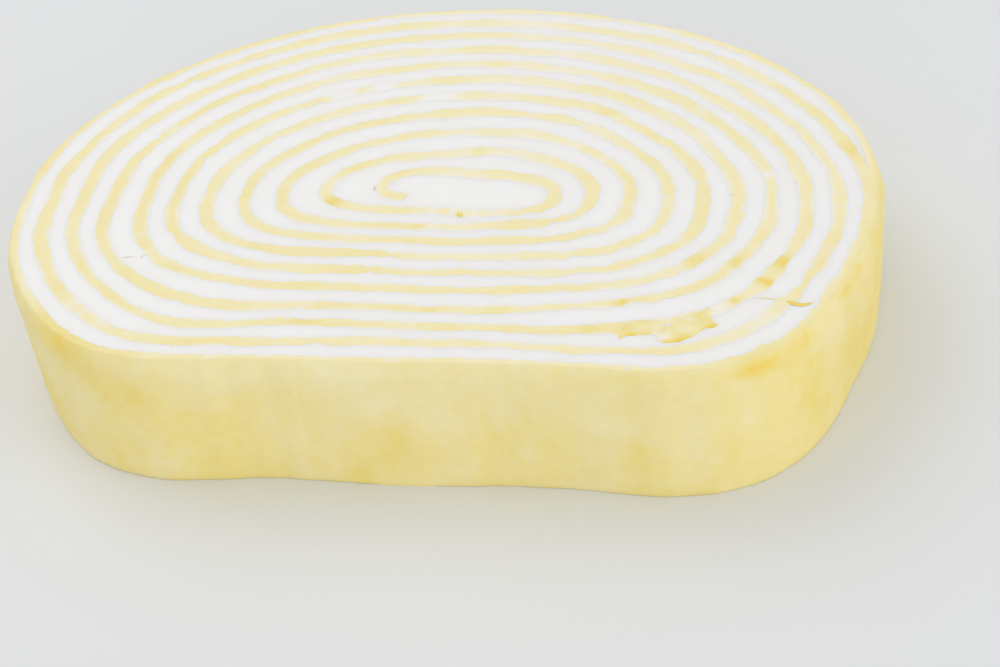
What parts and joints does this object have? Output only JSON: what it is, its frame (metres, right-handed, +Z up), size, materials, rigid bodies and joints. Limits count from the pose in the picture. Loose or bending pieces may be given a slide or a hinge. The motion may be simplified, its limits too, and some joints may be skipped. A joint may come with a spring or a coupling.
{
  "type": "mille crepe roll cake slice",
  "caption": "Slice of a rolled crepe cake lying on its cut face: a long pale yellow crepe wound with white cream in an oval spiral with one side pressed flat.",
  "frame": {"origin": "middle of the slice's outline, on the cut face it lies on", "axes": "+X along the roll's width, +Y away from the side that is pressed flat, +Z up out of the cut face that shows the spiral"},
  "size_m": [0.0968, 0.07, 0.0156],
  "materials": {
    "crepe": "soft egg crepe, pale yellow and matte, with faint browning on the outside",
    "cream": "whipped cream, white, smooth and slightly moist"
  },
  "bodies": {
    "root": {"crepe": "crepe", "cream": "cream"}
  },
  "joints": []
}
